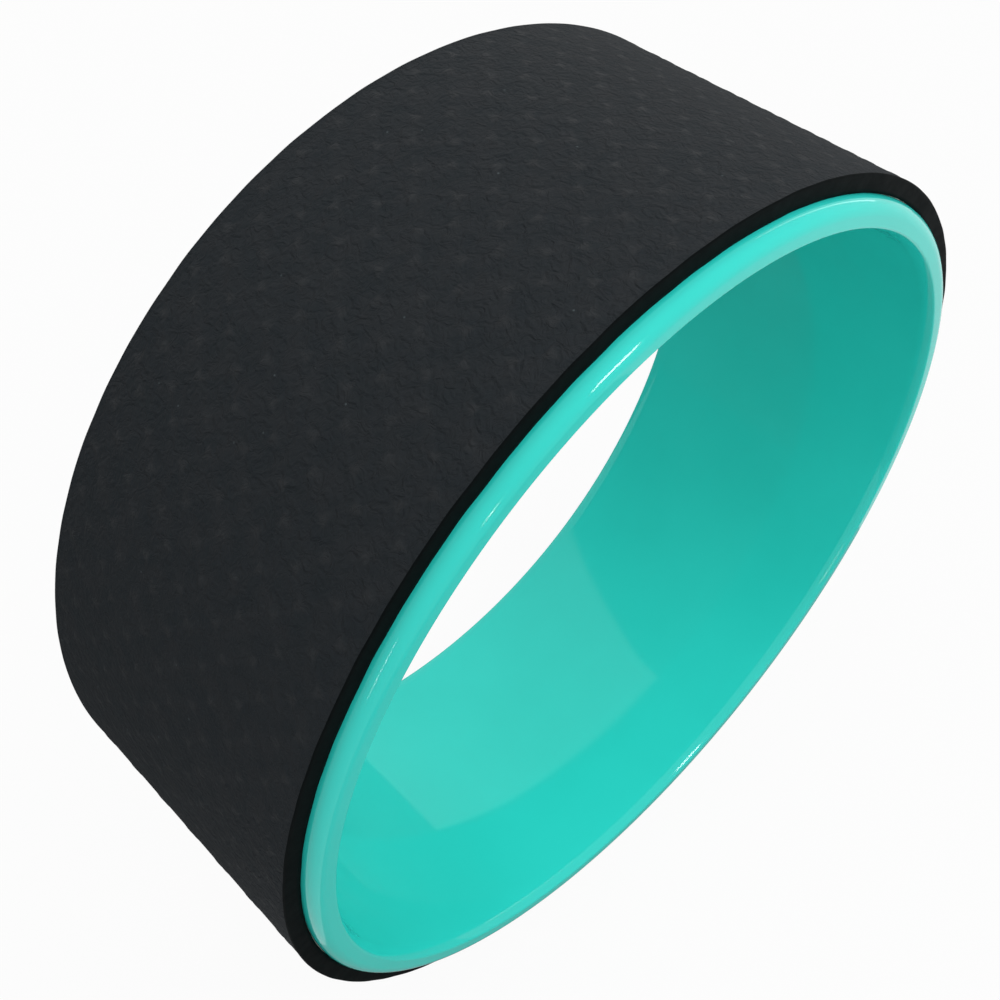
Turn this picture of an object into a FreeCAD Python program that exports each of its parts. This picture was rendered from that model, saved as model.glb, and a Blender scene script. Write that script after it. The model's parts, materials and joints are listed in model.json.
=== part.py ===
import FreeCAD, Part
import math
import os
import Sketcher

# A yoga wheel: a moulded hoop with rounded lips, and a foam pad stuck round it with an adhesive film.
# The wheel's axis is Y and its centre is the origin. Lengths are in millimetres, angles in degrees.

# The driving sizes: name, value and what it measures
DRIVING_SIZES = (
    ("tread_diameter", 330.0, "across the pad's outside"),
    ("pad_thickness", 6.0, "of the foam strip"),
    ("pad_width", 116.5, "of the foam strip, along the axis"),
    ("film_thickness", 0.2, "of the adhesive under the pad"),
    ("film_margin", 1.0, "from the pad's edge in to the film's edge"),
    ("hoop_width", 126.5, "over both lips, along the axis"),
    ("hoop_wall", 10.0, "from the hoop's outside to its inside"),
    ("lip_outer_round", 5.0, "radius of the lip beside the pad"),
    ("lip_edge_round", 1.0, "radius of the lip's edge beside the opening"),
    ("flare_radius", 10.0, "of the gentle curve that opens the bore out to the lip's edge"),
    ("flare_length", 5.4, "from the lip's end face in to where the bore runs straight"),
    ("seam_gap", 0.4, "between the strip's two ends"),
    ("seam_angle", 60.0, "from +X towards -Z, round to the seam"),
)

# A thin wall limits the outer round to this share of it, so that a flat land stays on the lip
OUTER_ROUND_SHARE = 0.6

# Radii that the pieces share, from the outside in, and the widths along the axis
TREAD_RADIUS = "sizes.tread_diameter / 2"
PAD_SEAT_RADIUS = f"{TREAD_RADIUS} - sizes.pad_thickness"
HOOP_RADIUS = f"{PAD_SEAT_RADIUS} - sizes.film_thickness"
BORE_RADIUS = f"{HOOP_RADIUS} - sizes.hoop_wall"
OUTER_ROUND = f"min(sizes.lip_outer_round; sizes.hoop_wall * {OUTER_ROUND_SHARE})"
HOOP_HALF = "sizes.hoop_width / 2"
BORE_HALF = "sizes.hoop_width / 2 - sizes.flare_length"
PAD_HALF = "sizes.pad_width / 2"
FILM_HALF = "sizes.pad_width / 2 - sizes.film_margin"

START, END = 1, 2
ORIGIN = (-1, 1)

doc = FreeCAD.newDocument("yoga_wheel")


def make_sheet():
    """The spreadsheet of driving sizes, one row each, with the value's cell named."""
    sheet = doc.addObject("Spreadsheet::Sheet", "sizes")
    for row, (name, value, meaning) in enumerate(DRIVING_SIZES, start=1):
        sheet.set(f"A{row}", name)
        sheet.set(f"B{row}", str(value))
        sheet.set(f"C{row}", meaning)
        sheet.setAlias(f"B{row}", name)
    doc.recompute()
    return sheet


def section_sketch(body, name):
    """An empty sketch on the body's own XY plane, where x is the radius and y runs along the axis."""
    sketch = body.newObject("Sketcher::SketchObject", name)
    plane = next(item for item in body.Origin.OriginFeatures if item.Role == "XY_Plane")
    sketch.AttachmentSupport = [(plane, "")]
    sketch.MapMode = "FlatFace"
    return sketch


def bind(sketch, name, kind, place, value, expression):
    """One named dimension of a sketch, set to its value now and tied to the sheet."""
    index = sketch.addConstraint(Sketcher.Constraint(kind, *place, value))
    sketch.renameConstraint(index, name)
    sketch.setExpression(f"Constraints.{name}", expression)


def draw_strip_section(sketch, inner, outer, half):
    """A rectangle between two radii, even about the middle plane. Each size is (value, expression)."""
    corners = [(outer[0], -half[0]), (outer[0], half[0]), (inner[0], half[0]), (inner[0], -half[0])]
    points = [FreeCAD.Vector(x, y, 0) for x, y in corners]
    count = len(points)
    for side in range(count):
        sketch.addGeometry(Part.LineSegment(points[side], points[(side + 1) % count]))
    for side in range(count):
        sketch.addConstraint(Sketcher.Constraint("Coincident", side, END, (side + 1) % count, START))
        sketch.addConstraint(Sketcher.Constraint("Vertical" if side % 2 == 0 else "Horizontal", side))
    bind(sketch, "outer_radius", "DistanceX", (*ORIGIN, 0, START), *outer)
    bind(sketch, "inner_radius", "DistanceX", (*ORIGIN, 2, START), *inner)
    bind(sketch, "back_half", "DistanceY", (*ORIGIN, 1, START), *half)
    bind(sketch, "front_half", "DistanceY", (3, START, *ORIGIN), *half)


def lip_arcs(inner, outer, half, bore_half, outer_round, edge_round, flare):
    """The back lip's arcs, from the outside in: its round, the opening's edge and the flare into the bore."""
    reach = flare - edge_round
    sweep = math.asin((half - edge_round - bore_half) / reach)
    edge_x = inner + flare - reach * math.cos(sweep)
    return (
        arc(outer - outer_round, half - outer_round, outer_round, 0, math.pi / 2),
        arc(edge_x, half - edge_round, edge_round, math.pi / 2, math.pi - sweep),
        arc(inner + flare, bore_half, flare, math.pi - sweep, math.pi),
    )


def draw_hoop_section(sketch, *sizes):
    """The hoop's wall with a lip at each end. Each size is (value, expression), in the order of lip_arcs."""
    inner, outer, half, bore_half, outer_round, edge_round, flare = sizes
    back = lip_arcs(*(value for value, expression in sizes))
    front = [mirrored(piece) for piece in reversed(back)]
    outline = (
        line(front[2], back[0]), back[0], line(back[0], back[1]), back[1], back[2],
        line(back[2], front[0]), front[0], front[1], line(front[1], front[2]), front[2],
    )
    for piece in outline:
        sketch.addGeometry(piece)
    for piece in range(len(outline)):
        sketch.addConstraint(Sketcher.Constraint("Tangent", piece, END, (piece + 1) % len(outline), START))
    outside, back_outer, back_face, back_edge, back_flare = range(0, 5)
    inside, front_flare, front_edge, front_face, front_outer = range(5, 10)
    for upright in (outside, inside):
        sketch.addConstraint(Sketcher.Constraint("Vertical", upright))
    for level in (back_face, front_face):
        sketch.addConstraint(Sketcher.Constraint("Horizontal", level))
    for pair in ((back_outer, front_outer), (back_edge, front_edge), (back_flare, front_flare)):
        sketch.addConstraint(Sketcher.Constraint("Equal", *pair))
    bind(sketch, "outer_round", "Radius", (back_outer,), *outer_round)
    bind(sketch, "edge_round", "Radius", (back_edge,), *edge_round)
    bind(sketch, "flare", "Radius", (back_flare,), *flare)
    bind(sketch, "outer_radius", "DistanceX", (*ORIGIN, outside, START), *outer)
    bind(sketch, "bore_radius", "DistanceX", (*ORIGIN, inside, START), *inner)
    bind(sketch, "back_half", "DistanceY", (*ORIGIN, back_face, START), *half)
    bind(sketch, "front_half", "DistanceY", (front_face, START, *ORIGIN), *half)
    bind(sketch, "back_bore", "DistanceY", (*ORIGIN, inside, START), *bore_half)
    bind(sketch, "front_bore", "DistanceY", (inside, END, *ORIGIN), *bore_half)


def arc(centre_x, centre_y, radius, start, end):
    """An arc of a circle, running anticlockwise between two angles in radians."""
    circle = Part.Circle(FreeCAD.Vector(centre_x, centre_y, 0), FreeCAD.Vector(0, 0, 1), radius)
    return Part.ArcOfCircle(circle, start, end)


def mirrored(piece):
    """The arc at the front end that matches one at the back end."""
    return arc(piece.Center.x, -piece.Center.y, piece.Radius, -piece.LastParameter, -piece.FirstParameter)


def line(before, after):
    """The straight side from one arc's end to the next arc's start."""
    return Part.LineSegment(before.EndPoint, after.StartPoint)


def sized(sheet, expression):
    """A size as (value now, expression), worked out by the sheet so that no size is written twice."""
    return float(sheet.evalExpression(expression.replace("sizes.", ""))), expression


def revolve(body, sketch, name):
    """Turns a section about the wheel's axis, which is the sketch's upright axis."""
    turn = body.newObject("PartDesign::Revolution", name)
    turn.Profile = sketch
    turn.ReferenceAxis = (sketch, ["V_Axis"])
    turn.Angle = 360
    return turn


def make_hoop(sheet):
    """The moulded hoop: a straight wall whose ends are the rounded lips."""
    body = doc.addObject("PartDesign::Body", "hoop")
    sketch = section_sketch(body, "hoop_section")
    rounds = (OUTER_ROUND, "sizes.lip_edge_round", "sizes.flare_radius")
    sizes = (BORE_RADIUS, HOOP_RADIUS, HOOP_HALF, BORE_HALF, *rounds)
    draw_hoop_section(sketch, *(sized(sheet, size) for size in sizes))
    revolve(body, sketch, "hoop_turn")
    return body


def make_strip(sheet, name, inner, outer, half):
    """A strip bent round the hoop, stopping one seam gap short of a full turn."""
    body = doc.addObject("PartDesign::Body", name)
    sketch = section_sketch(body, f"{name}_section")
    draw_strip_section(sketch, *(sized(sheet, size) for size in (inner, outer, half)))
    turn = revolve(body, sketch, f"{name}_turn")
    turn.setExpression("Angle", f"360 - sizes.seam_gap / ({inner}) * 180 / pi")
    body.Placement = FreeCAD.Placement(FreeCAD.Vector(), FreeCAD.Rotation(FreeCAD.Vector(0, 1, 0), 1))
    body.setExpression("Placement.Rotation.Angle", "sizes.seam_angle * 1 deg")
    return body


def check(pieces):
    """Stops the build if any object failed or any piece is not one sound solid."""
    for item in doc.Objects:
        if "Invalid" in item.State or "Error" in item.State:
            raise RuntimeError(f"{item.Label} failed: {item.State}")
    for piece in pieces:
        shape = piece.Shape
        if shape.isNull() or not shape.isValid() or len(shape.Solids) != 1:
            raise RuntimeError(f"{piece.Label} is not one valid solid")


def write(pieces):
    """One STEP file for each piece, named by its label."""
    os.makedirs("parts", exist_ok=True)
    for piece in pieces:
        piece.Shape.exportStep(f"parts/{piece.Label}.step")
        box = piece.Shape.optimalBoundingBox(False)
        print(f"{piece.Label}: {piece.Shape.Volume / 1000:.1f} cm3, "
              f"{box.XLength:.2f} x {box.YLength:.2f} x {box.ZLength:.2f} mm")


sheet = make_sheet()
pieces = [
    make_hoop(sheet),
    make_strip(sheet, "adhesive_film", HOOP_RADIUS, PAD_SEAT_RADIUS, FILM_HALF),
    make_strip(sheet, "tread_pad", PAD_SEAT_RADIUS, TREAD_RADIUS, PAD_HALF),
]
doc.recompute()
check(pieces)
write(pieces)
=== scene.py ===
import json
import math

import bpy
import numpy as np
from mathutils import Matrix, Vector


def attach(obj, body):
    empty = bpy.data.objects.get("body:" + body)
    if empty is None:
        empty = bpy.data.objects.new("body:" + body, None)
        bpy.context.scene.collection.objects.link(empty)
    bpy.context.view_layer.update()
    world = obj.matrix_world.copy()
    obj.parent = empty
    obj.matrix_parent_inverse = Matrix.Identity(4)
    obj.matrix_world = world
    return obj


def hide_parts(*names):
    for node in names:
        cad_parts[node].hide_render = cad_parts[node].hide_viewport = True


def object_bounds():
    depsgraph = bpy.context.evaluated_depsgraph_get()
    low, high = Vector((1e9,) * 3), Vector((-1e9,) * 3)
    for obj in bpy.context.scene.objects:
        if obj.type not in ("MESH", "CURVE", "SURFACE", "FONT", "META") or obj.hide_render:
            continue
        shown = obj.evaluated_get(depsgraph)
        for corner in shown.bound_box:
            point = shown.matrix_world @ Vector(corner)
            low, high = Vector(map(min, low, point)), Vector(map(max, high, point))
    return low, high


# The looks of a yoga wheel: a glossy moulded hoop and an embossed foam pad wrapped round it.
# Lengths are metres in the wheel's own frame: its axis is Y, its centre is the origin and +Z is up.

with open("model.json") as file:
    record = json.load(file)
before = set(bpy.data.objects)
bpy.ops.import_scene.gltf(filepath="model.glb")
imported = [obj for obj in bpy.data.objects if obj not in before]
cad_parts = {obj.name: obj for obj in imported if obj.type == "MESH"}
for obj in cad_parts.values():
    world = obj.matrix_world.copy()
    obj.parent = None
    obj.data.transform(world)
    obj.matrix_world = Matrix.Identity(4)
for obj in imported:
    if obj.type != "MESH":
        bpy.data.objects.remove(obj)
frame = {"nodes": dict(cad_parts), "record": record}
cad_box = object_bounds()

MM = 0.001
BODY = "root"


def turned_sizes(node):
    """Smallest radius, largest radius and half width of a node that is turned about Y."""
    points = np.array([vertex.co for vertex in frame["nodes"][node].data.vertices])
    radii = np.hypot(points[:, 0], points[:, 2])
    return radii.min(), radii.max(), points[:, 1].max()


# Sizes that come with the frame
BORE_RADIUS, HOOP_RADIUS, HOOP_HALF = turned_sizes("hoop")
PAD_SEAT, TREAD_RADIUS, PAD_HALF = turned_sizes("tread_pad")
BORE = next(mount for mount in frame["record"]["mounts"] if mount["name"] == "hoop_bore")
BORE_HALF = BORE["dims"]["length_mm"] * MM / 2

# The lip: a round beside the pad, a flat land, a small round at the opening's edge, a flare into the bore
LIP_OUTER_ROUND = 5.0 * MM
LIP_EDGE_ROUND = 1.0 * MM
FLARE_RADIUS = 10.0 * MM
HOOP_SEGMENTS = 480
ROUND_STEPS = 16

# The pad's butt seam, from +X towards +Z, and its cut edges
SEAM_ANGLE = math.radians(-60)
SEAM_GAP = 0.4 * MM
PAD_CORNER = 0.7 * MM
CORNER_STEPS = 4
EDGE_STEPS = 4
SEAT_STEPS = 2
# The cut edge wanders in and out by this much, with so many waves round the wheel
CUT_DEPTH = 0.3 * MM
CUT_WANDERS = (13, 29, 47, 71)

# The embossed motif: rows of small triangles, joined by thin ridges that run slantwise between them.
# A row that points to the front end and a row that points to the back end take turns, half a motif apart.
MOTIFS_ROUND = 71
# Along the axis: from one front-pointing row to the next, and to the back-pointing row between them
MOTIF_PITCH = 16.27 * MM
MOTIF_RISE = 6.2 * MM
# Where the motif is anchored: an angle from +X towards +Z, and a length from the pad's front edge
MOTIF_ANGLE = math.radians(139.3)
MOTIF_START = 22.7 * MM
# The triangles' height and width, how steeply their flanks fall, and which way two of their sides face,
# as parts across and along. The third side faces straight along.
RELIEF = 0.20 * MM
TRIANGLE_WIDTH = 3.4 * MM
TRIANGLE_SLOPE = 1.6
SIDE_ACROSS, SIDE_ALONG = 0.87, 0.5
# A ridge's half width as a share of half a motif, its height as a share of a triangle's, and the share of
# its height that it loses by half-way to the next triangle
RIDGE_SHARE = 0.14
RIDGE_HEIGHT = 0.22
RIDGE_DIP = 0.5
# Places of mesh lines between two neighbouring rows of triangles, as shares: closer where the triangles are
MESH_SHARES = (0, 0.12, 0.28, 0.5, 0.72, 0.88)
# A mesh line is left out this close to the strip's ends, as a share of half a motif, and to its edges
END_MARGIN = 0.1
EDGE_MARGIN = 0.3 * MM

# Colours as linear red, green and blue. Those in pairs are the two that a mottled material runs between.
TURQUOISE = (0.024, 0.610, 0.532), (0.028, 0.640, 0.562)
CHARCOAL = (0.0120, 0.0160, 0.0190), (0.0155, 0.0185, 0.0212)
# Painted highlight: the pad's charcoal made lighter on its raised triangles, where they catch the light
RAISED_HIGHLIGHT_CHARCOAL = (0.0185, 0.0215, 0.0240)
PALE_SPECK = (0.055, 0.070, 0.075)
CUT_FOAM = (0.0018, 0.0030, 0.0032), (0.0026, 0.0040, 0.0042)
MILKY_GLUE = (0.70, 0.67, 0.57), (0.79, 0.76, 0.67)
# The range that most of a noise's values lie in
NOISE_RANGE = (0.3, 0.7)

# The camera, as fitted to the photograph's outlines, with the pixel that lies on its lens's axis
CAMERA_PLACE = Vector((-0.20797, -0.19725, 0.35253))
CAMERA_PITCH = math.radians(50.975)
CAMERA_HEADING = math.radians(44.736)
CAMERA_LENS = 43.40
CAMERA_NEAR = 0.01
SENSOR_WIDTH = 36.0
IMAGE_SIZE = 1000
AXIS_PIXEL = (520.03, 527.41)

# The stage. Brightness is what a mirror would show, where 1 is white. The floor is plain white by the share
# FLOOR_GLOW where it is seen, and takes light and shadow for the rest.
FLOOR_SIZE = 8.0
FLOOR_COLOUR = (0.50, 0.50, 0.50, 1)
FLOOR_GLOW = 0.95
MATT_PAPER = {"Roughness": 0.9, "Specular_IOR_Level": 0.0}
# Soft lights: the direction that each comes from, how narrow it is and its brightness
SOFT_LIGHTS = {
    "top": ((0, 0, 1), 1, 0.45),
    "back": ((0, 1, 0), 1, 0.75),
    "left": ((-0.80, 0, 0.60), 2, 0.36),
    "key": ((0.11, -0.54, 0.83), 8, 2.10),
    "right_window": ((0.70, 0.37, 0.61), 4, 0.90),
    "front_window": ((0.26, -0.92, 0.30), 4, 0.15),
}
# Lamps: the place, size and brightness of each
LAMPS = {
    "front_lamp": ((0.042, -0.320, 0.240), (0.060, 0.055), 24.0),
    "front_spot": ((-0.238, -2.057, 0.198), (0.12, 0.12), 26.0),
    "left_strip": ((-1.797, -1.129, 0.326), (0.05, 0.50), 22.0),
    "right_strip": ((2.0, -0.1, 0.75), (0.15, 1.60), 2.5),
}
# Grey cards round the wheel, hidden from the camera: a corner above the floor, two sides, the grey, and
# whether the card takes soft light off the wheel too or shows in its gloss alone. Flat ones lie just clear
# of the floor.
CARD_LIFT = 0.001
CARDS = {
    "left_card": ((-0.55, 0.12, 0), (0, 0.35, 0), (0, 0.27, 2.3), 0.12, True),
    "right_card": ((0.90, 0.05, 0), (0, 1.15, 0), (0, 0, 0.27), 0.30, False),
    "floor_card": ((-0.55, 0, CARD_LIFT), (1.45, 0, 0), (0, 1.20, 0), 0.15, False),
    # Painted shade: the card under the front edge stands for the floor's contact shadow, seen only in the
    # lip's gloss
    "contact_shadow_card": ((-0.20, -0.45, CARD_LIFT), (0.42, 0, 0), (0, 0.45, 0), 0.38, False),
}


def link(thing):
    """Puts a new object into the scene."""
    bpy.context.scene.collection.objects.link(thing)
    return thing


def make_camera():
    """The photograph's camera, level and looking down on the front end of the wheel."""
    data = bpy.data.cameras.new("camera")
    data.sensor_width = SENSOR_WIDTH
    data.lens = CAMERA_LENS
    data.shift_x = 0.5 - AXIS_PIXEL[0] / IMAGE_SIZE
    data.shift_y = AXIS_PIXEL[1] / IMAGE_SIZE - 0.5
    data.clip_start = CAMERA_NEAR
    camera = link(bpy.data.objects.new("camera", data))
    camera.location = CAMERA_PLACE
    camera.rotation_euler = (math.pi / 2 - CAMERA_PITCH, 0, -CAMERA_HEADING)
    bpy.context.scene.camera = camera


class Shader:
    """A material's node tree, with short ways to add and join nodes."""

    def __init__(self, name):
        self.material = bpy.data.materials.new(name)
        self.material.use_nodes = True
        self.tree = self.material.node_tree
        self.surface = self.tree.nodes["Principled BSDF"]

    def add(self, kind, **settings):
        """A new node with its settings."""
        node = self.tree.nodes.new(kind)
        for name, value in settings.items():
            setattr(node, name, value)
        return node

    def join(self, source, target):
        """Links one node's output to another's input."""
        self.tree.links.new(source, target)

    def set(self, **values):
        """Sets the surface's inputs to values that are the same all over."""
        for name, value in values.items():
            self.surface.inputs[name.replace("_", " ")].default_value = value

    def feed(self, **sources):
        """Links the surface's inputs to outputs of other nodes."""
        for name, source in sources.items():
            self.join(source, self.surface.inputs[name.replace("_", " ")])

    def place(self):
        """Places in the wheel's frame, in metres."""
        return self.add("ShaderNodeTexCoord").outputs["Object"]

    def noise(self, size, detail=3.0, roughness=0.5, twist=0.0):
        """Noise from 0 to 1 with features about size across, drawn out into curls by twist."""
        node = self.add("ShaderNodeTexNoise")
        node.inputs["Scale"].default_value = 1 / size
        node.inputs["Detail"].default_value = detail
        node.inputs["Roughness"].default_value = roughness
        node.inputs["Distortion"].default_value = twist
        self.join(self.place(), node.inputs["Vector"])
        return node.outputs["Fac"]

    def nearest_dot(self, spacing):
        """Distance to the nearest of many scattered dots, as a share of their spacing."""
        node = self.add("ShaderNodeTexVoronoi")
        node.inputs["Scale"].default_value = 1 / spacing
        self.join(self.place(), node.inputs["Vector"])
        return node.outputs["Distance"]

    def ramp(self, value, low, high, to_low=0.0, to_high=1.0):
        """Maps a value from the range low to high on to another range, and stops at its ends."""
        node = self.add("ShaderNodeMapRange")
        for name, number in (("From Min", low), ("From Max", high), ("To Min", to_low), ("To Max", to_high)):
            node.inputs[name].default_value = number
        self.join(value, node.inputs["Value"])
        return node.outputs["Result"]

    def blend(self, share, first, second):
        """A colour between two others."""
        node = self.add("ShaderNodeMix", data_type="RGBA")
        self.join(share, node.inputs["Factor"])
        for name, colour in (("A", first), ("B", second)):
            socket = next(s for s in node.inputs if s.name == name and s.type == "RGBA")
            if isinstance(colour, tuple):
                socket.default_value = (*colour, 1)
            else:
                self.join(colour, socket)
        return next(s for s in node.outputs if s.type == "RGBA")

    def bump(self, height, depth, strength=1.0, after=None):
        """Adds a bump of the given depth in metres, on top of an earlier one if there is one."""
        node = self.add("ShaderNodeBump")
        node.inputs["Strength"].default_value = strength
        node.inputs["Distance"].default_value = depth
        self.join(height, node.inputs["Height"])
        if after:
            self.join(after, node.inputs["Normal"])
        return node.outputs["Normal"]


def hoop_plastic():
    """Glossy turquoise plastic with the slight waviness of a moulding."""
    shader = Shader("hoop_plastic")
    shader.set(Specular_IOR_Level=0.3)
    tint = shader.ramp(shader.noise(size=60 * MM), *NOISE_RANGE)
    polish = shader.ramp(shader.noise(size=9 * MM), *NOISE_RANGE, to_low=0.05, to_high=0.08)
    waves = shader.bump(shader.noise(size=50 * MM, detail=0.0), depth=0.06 * MM)
    shader.feed(Base_Color=shader.blend(tint, *TURQUOISE), Roughness=polish, Normal=waves)
    return shader.material


def pad_foam():
    """Charcoal foam with a crinkled skin and a few pale specks, and a painted highlight that makes it
    lighter where it is raised.
    """
    shader = Shader("pad_foam")
    shader.set(Specular_IOR_Level=0.15)
    raised = shader.add("ShaderNodeAttribute", attribute_name="relief").outputs["Fac"]
    mottle = shader.ramp(shader.noise(size=7 * MM, detail=4.0), low=0.35, high=0.65)
    # Painted highlight: the raised triangles turn lighter, as if catching the light
    painted_highlight = shader.blend(raised, shader.blend(mottle, *CHARCOAL), RAISED_HIGHLIGHT_CHARCOAL)
    specks = shader.ramp(shader.nearest_dot(spacing=9 * MM), low=0.02, high=0.045, to_low=1, to_high=0)
    polish = shader.ramp(raised, low=0, high=1, to_low=0.75, to_high=0.62)
    crinkles = shader.bump(shader.noise(size=3.4 * MM, roughness=0.55, twist=1.2), depth=1.5 * MM)
    fine = shader.noise(size=0.8 * MM, detail=2.0)
    grain = shader.bump(fine, depth=0.12 * MM, strength=0.6, after=crinkles)
    shader.feed(Base_Color=shader.blend(specks, painted_highlight, PALE_SPECK), Roughness=polish, Normal=grain)
    return shader.material


def pad_edge():
    """The pad's cut edge: dense, dark and smoother than its face."""
    shader = Shader("pad_edge")
    shader.set(Specular_IOR_Level=0.03)
    mottle = shader.ramp(shader.noise(size=2 * MM), *NOISE_RANGE)
    polish = shader.ramp(shader.noise(size=3 * MM), *NOISE_RANGE, to_low=0.6, to_high=0.7)
    grain = shader.bump(shader.noise(size=0.6 * MM, detail=2.0), depth=0.05 * MM, strength=0.5)
    shader.feed(Base_Color=shader.blend(mottle, *CUT_FOAM), Roughness=polish, Normal=grain)
    return shader.material


def film_glue():
    """The milky adhesive film under the pad."""
    shader = Shader("film_glue")
    streaks = shader.ramp(shader.noise(size=12 * MM), *NOISE_RANGE)
    polish = shader.ramp(shader.noise(size=4 * MM), *NOISE_RANGE, to_low=0.35, to_high=0.5)
    shader.feed(Base_Color=shader.blend(streaks, *MILKY_GLUE), Roughness=polish)
    return shader.material


def around(radius, along, angle):
    """Points at a radius, a place along the axis and an angle from +X towards +Z."""
    return np.stack(np.broadcast_arrays(radius * np.cos(angle), along, radius * np.sin(angle)), axis=-1)


def grid_faces(columns, rows, wrap, heights=None):
    """Quads over a grid whose rows close on themselves, and whose columns do if wrap is set.
    With heights, each quad's first corner lies on its higher diagonal, along which it is split."""
    faces = []
    for column in range(columns if wrap else columns - 1):
        here, there = column * rows, (column + 1) % columns * rows
        for row in range(rows):
            beside = (row + 1) % rows
            quad = [here + row, here + beside, there + beside, there + row]
            if heights is not None:
                corners = [heights[corner] for corner in quad]
                if corners[0] + corners[2] < corners[1] + corners[3]:
                    quad = quad[1:] + quad[:1]
            faces.append(quad)
    return faces


def new_piece(name, points, faces):
    """A smooth-shaded mesh object that rides on the wheel."""
    mesh = bpy.data.meshes.new(name)
    mesh.from_pydata(points.tolist(), [], faces)
    mesh.shade_smooth()
    mesh.validate()
    piece = link(bpy.data.objects.new(name, mesh))
    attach(piece, BODY)
    return piece


def arc(centre, radius, start, end, steps):
    """Points of an arc in the section, as (radius, along), without its last point. Angles are in degrees."""
    turn = np.linspace(math.radians(start), math.radians(end), steps + 1)[:-1]
    return [(centre[0] + radius * math.cos(t), centre[1] + radius * math.sin(t)) for t in turn]


def lip_section():
    """The back end's lip, from the outside in to where the bore runs straight."""
    outer = HOOP_RADIUS - LIP_OUTER_ROUND, HOOP_HALF - LIP_OUTER_ROUND
    flare = BORE_RADIUS + FLARE_RADIUS, BORE_HALF
    reach = FLARE_RADIUS - LIP_EDGE_ROUND
    sweep = math.asin((HOOP_HALF - LIP_EDGE_ROUND - BORE_HALF) / reach)
    edge = flare[0] - reach * math.cos(sweep), HOOP_HALF - LIP_EDGE_ROUND
    turned = 180 - math.degrees(sweep)
    section = arc(outer, LIP_OUTER_ROUND, 0, 90, ROUND_STEPS) + [(outer[0], HOOP_HALF)]
    section += arc(edge, LIP_EDGE_ROUND, 90, turned, ROUND_STEPS)
    return section + arc(flare, FLARE_RADIUS, turned, 180, ROUND_STEPS) + [(BORE_RADIUS, BORE_HALF)]


def hoop_section():
    """The hoop's closed section, anticlockwise: the back end's lip, then its mirror image at the front."""
    back = lip_section()
    return np.array(back + [(radius, -along) for radius, along in back[::-1]])


def make_hoop():
    """The moulded hoop, turned finely enough for clean highlights along its lips."""
    section = hoop_section()
    angles = np.arange(HOOP_SEGMENTS) * 2 * math.pi / HOOP_SEGMENTS
    points = around(section[None, :, 0], section[None, :, 1], angles[:, None])
    hoop = new_piece("hoop_shell", points.reshape(-1, 3), grid_faces(HOOP_SEGMENTS, len(section), True))
    hoop.data.materials.append(hoop_plastic())
    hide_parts("hoop")


def between(start, end, lines, margin):
    """The start, then the lines that lie inside by more than a margin, then the end."""
    return np.array([start] + [line for line in lines if start + margin < line < end - margin] + [end])


def pad_angles():
    """Angles of the pad's mesh columns, from one end of the strip to the other."""
    step = math.pi / MOTIFS_ROUND
    start = SEAM_ANGLE + SEAM_GAP / PAD_SEAT
    end = SEAM_ANGLE + 2 * math.pi
    first = math.floor((start - MOTIF_ANGLE) / step)
    last = math.ceil((end - MOTIF_ANGLE) / step)
    lines = [MOTIF_ANGLE + (half + share) * step for half in range(first, last) for share in MESH_SHARES]
    return between(start, end, lines, END_MARGIN * step)


def pad_rows():
    """Places along the axis of the mesh rows on the pad's face, between its rounded corners."""
    reach = PAD_HALF - PAD_CORNER
    first = MOTIF_START - PAD_HALF
    rises = (MOTIF_RISE, MOTIF_PITCH - MOTIF_RISE)
    count = math.ceil(2 * PAD_HALF / MOTIF_PITCH) + 1
    lines = []
    for motif in range(-count, count):
        for half, rise in enumerate(rises):
            start = first + motif * MOTIF_PITCH + half * MOTIF_RISE
            lines += [start + share * rise for share in MESH_SHARES]
    return between(-reach, reach, lines, EDGE_MARGIN)


def motif_rows(along):
    """The place along the axis in rows of triangles: even at front-pointing rows, odd at the others."""
    turns, rest = np.divmod(along - (MOTIF_START - PAD_HALF), MOTIF_PITCH)
    return 2 * turns + np.where(rest < MOTIF_RISE, rest / MOTIF_RISE,
                                1 + (rest - MOTIF_RISE) / (MOTIF_PITCH - MOTIF_RISE))


def relief(angle, along):
    """Height of the embossing, from 0 to 1."""
    across = (angle - MOTIF_ANGLE) * MOTIFS_ROUND / math.pi
    rows = motif_rows(along)
    rising, falling = across - rows, across + rows
    off_rising = np.abs(rising - 2 * np.round(rising / 2))
    off_falling = np.abs(falling - 2 * np.round(falling / 2))
    ridges = np.maximum(ridge(off_rising, off_falling), ridge(off_falling, off_rising))
    return np.maximum(ridges, triangle(across, rows))


def ridge(off, run):
    """A thin ridge: full beside a triangle and lower half-way to the next one."""
    return np.clip(1 - off / RIDGE_SHARE, 0, 1) * RIDGE_HEIGHT * (1 - RIDGE_DIP * np.clip(run, 0, 1))


def triangle(across, rows):
    """A raised triangle at each node, its point to the front or to the back end by turns."""
    middle = np.round((across + rows) / 2), np.round((across - rows) / 2)
    side = (across - (middle[0] + middle[1])) * math.pi / MOTIFS_ROUND * TREAD_RADIUS
    row = middle[0] - middle[1]
    rise = np.where((rows > row) == (row % 2 == 0), MOTIF_RISE, MOTIF_PITCH - MOTIF_RISE)
    ahead = (rows - row) * rise * np.where(row % 2 == 0, 1, -1)
    reach = np.maximum(ahead, SIDE_ACROSS * np.abs(side) - SIDE_ALONG * ahead)
    return np.clip(TRIANGLE_SLOPE - TRIANGLE_SLOPE * reach / (TRIANGLE_WIDTH / 2), 0, 1)


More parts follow.
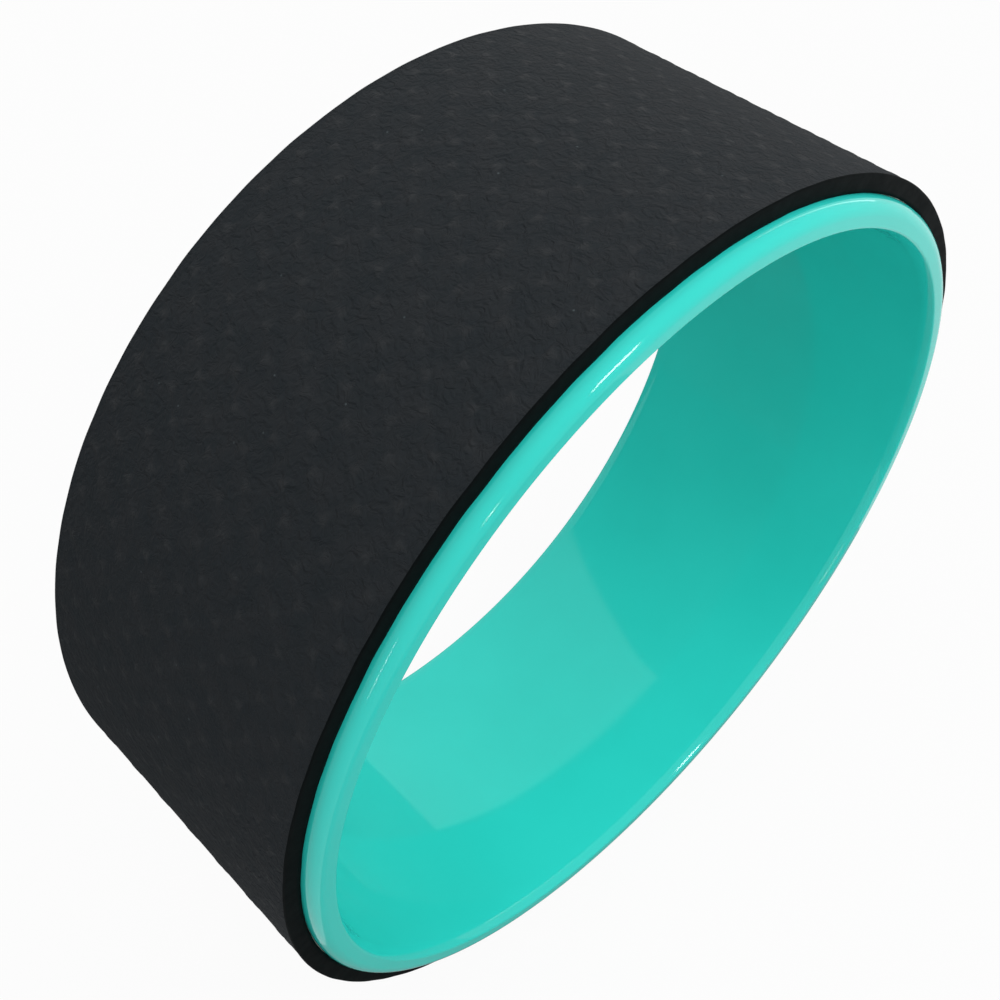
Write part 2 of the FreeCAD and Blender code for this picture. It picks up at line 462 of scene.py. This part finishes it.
def pad_section():
    """The pad's closed section as (radius, along), and how many of its first points are embossed."""
    rows = pad_rows()
    corner = TREAD_RADIUS - PAD_CORNER
    inside = PAD_HALF - PAD_CORNER
    back = arc((corner, inside), PAD_CORNER, 0, 90, CORNER_STEPS)[1:]
    front = arc((corner, -inside), PAD_CORNER, 270, 360, CORNER_STEPS)
    drops = np.linspace(corner, PAD_SEAT, EDGE_STEPS + 1)
    seats = np.linspace(PAD_HALF, -PAD_HALF, SEAT_STEPS + 1)[1:-1]
    section = [(TREAD_RADIUS, row) for row in rows]
    section += back + [(drop, PAD_HALF) for drop in drops]
    section += [(PAD_SEAT, seat) for seat in seats]
    section += [(drop, -PAD_HALF) for drop in drops[::-1]] + front[1:]
    return np.array(section), len(rows)


def cut_width(angle):
    """The strip's width at each angle as a share of its full width: a hand-fed cut wanders a little."""
    wander = sum(np.sin(turns * angle + turns) for turns in CUT_WANDERS) / len(CUT_WANDERS)
    return 1 - CUT_DEPTH / PAD_HALF * (1 - wander) / 2


def make_pad():
    """The foam strip: embossed outside, bent round the hoop, with its two ends meeting in a butt seam."""
    angles = pad_angles()
    section, face_rows = pad_section()
    columns, rows = len(angles), len(section)
    height = np.zeros((columns, rows))
    height[:, :face_rows] = relief(angles[:, None], section[None, :face_rows, 1])
    radius = section[None, :, 0] - RELIEF * (1 - height) * (np.arange(rows) < face_rows)
    points = around(radius, section[None, :, 1] * cut_width(angles)[:, None], angles[:, None])
    faces = grid_faces(columns, rows, False, height.reshape(-1))
    edge_rows = range(face_rows, rows - 1)
    cut = [row in edge_rows for _ in range(columns - 1) for row in range(rows)]
    ends = [list(range(rows - 1, -1, -1)), list(range((columns - 1) * rows, columns * rows))]
    pad = new_piece("foam_pad", points.reshape(-1, 3), faces + ends)
    pad.data.attributes.new("relief", "FLOAT", "POINT").data.foreach_set("value", height.reshape(-1))
    pad.data.materials.append(pad_foam())
    pad.data.materials.append(pad_edge())
    cut += [True] * len(ends)
    pad.data.polygons.foreach_set("material_index", np.array(cut, dtype=np.int32))
    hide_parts("tread_pad")


def finish_film():
    """The adhesive film keeps its own mesh and gets its finish."""
    materials = frame["nodes"]["adhesive_film"].data.materials
    materials.clear()
    materials.append(film_glue())


def combine(tree, operation, first, second):
    """One step of arithmetic in a node tree. The second value may be a plain number."""
    node = tree.nodes.new("ShaderNodeMath")
    node.operation = operation
    tree.links.new(first, node.inputs[0])
    if isinstance(second, (int, float)):
        node.inputs[1].default_value = second
    else:
        tree.links.new(second, node.inputs[1])
    return node.outputs[0]


def seen_rays(tree):
    """1 for rays that show the background: straight from the camera, off gloss or through glass."""
    path = tree.nodes.new("ShaderNodeLightPath")
    seen = path.outputs["Is Camera Ray"]
    for name in ("Is Glossy Ray", "Is Transmission Ray"):
        seen = combine(tree, "MAXIMUM", seen, path.outputs[name])
    return seen


def stage_sheet(name, corner, first, second, material):
    """A flat sheet that is no part of the wheel: a corner above the floor, two sides and a material."""
    start = Vector((0, 0, cad_box[0].z)) + Vector(corner)
    along, across = Vector(first), Vector(second)
    mesh = bpy.data.meshes.new(name)
    mesh.from_pydata([start, start + along, start + along + across, start + across], [], [(0, 1, 2, 3)])
    mesh.materials.append(material)
    sheet = link(bpy.data.objects.new(name, mesh))
    return sheet


def make_floor():
    """A plain white floor that keeps a light shadow."""
    shader = Shader("floor_paper")
    shader.set(Base_Color=FLOOR_COLOUR, **MATT_PAPER)
    glow = shader.add("ShaderNodeEmission")
    mix = shader.add("ShaderNodeMixShader")
    shader.join(combine(shader.tree, "MULTIPLY", seen_rays(shader.tree), FLOOR_GLOW), mix.inputs["Fac"])
    shader.join(shader.surface.outputs["BSDF"], mix.inputs[1])
    shader.join(glow.outputs["Emission"], mix.inputs[2])
    shader.join(mix.outputs["Shader"], shader.tree.nodes["Material Output"].inputs["Surface"])
    corner = (-FLOOR_SIZE / 2, -FLOOR_SIZE / 2, 0)
    stage_sheet("floor", corner, (FLOOR_SIZE, 0, 0), (0, FLOOR_SIZE, 0), shader.material)


def make_cards():
    """Cards that shade parts of the white round the wheel, as a photographer's do."""
    for name, (corner, first, second, grey, shades) in CARDS.items():
        shader = Shader(name)
        shader.set(Base_Color=(grey, grey, grey, 1), **MATT_PAPER)
        card = stage_sheet(name, corner, first, second, shader.material)
        card.visible_camera = False
        card.visible_diffuse = shades
        card.visible_shadow = False


def soft_light(tree, direction, narrowness, brightness):
    """Light that is full from one direction and fades away from it."""
    facing = tree.nodes.new("ShaderNodeVectorMath")
    facing.operation = "DOT_PRODUCT"
    facing.inputs[1].default_value = direction
    tree.links.new(tree.nodes.new("ShaderNodeTexCoord").outputs["Generated"], facing.inputs[0])
    front = combine(tree, "MAXIMUM", facing.outputs["Value"], 0)
    return combine(tree, "MULTIPLY", combine(tree, "POWER", front, narrowness), brightness)


def make_world():
    """White where it is seen, and a soft light from a few sides for everything else."""
    world = bpy.data.worlds.new("studio")
    bpy.context.scene.world = world
    world.use_nodes = True
    tree = world.node_tree
    total, *others = [soft_light(tree, *light) for light in SOFT_LIGHTS.values()]
    for light in others:
        total = combine(tree, "ADD", total, light)
    strength = tree.nodes.new("ShaderNodeMix")
    tree.links.new(seen_rays(tree), strength.inputs["Factor"])
    tree.links.new(total, strength.inputs["A"])
    strength.inputs["B"].default_value = 1
    background = tree.nodes["Background"]
    background.inputs["Color"].default_value = (1, 1, 1, 1)
    tree.links.new(strength.outputs["Result"], background.inputs["Strength"])


def make_lamps():
    """Small lamps that face the wheel, whose mirror images lie along the lip."""
    for name, (place, size, brightness) in LAMPS.items():
        data = bpy.data.lights.new(name, "AREA")
        data.shape = "RECTANGLE"
        data.size, data.size_y = size
        data.energy = brightness * math.pi * size[0] * size[1]
        lamp = link(bpy.data.objects.new(name, data))
        lamp.location = place
        lamp.rotation_euler = Vector(place).to_track_quat("Z", "Y").to_euler()
        lamp.visible_camera = False


make_camera()
make_hoop()
make_pad()
finish_film()
make_floor()
make_cards()
make_world()
make_lamps()

bpy.context.scene.view_settings.view_transform = "Standard"
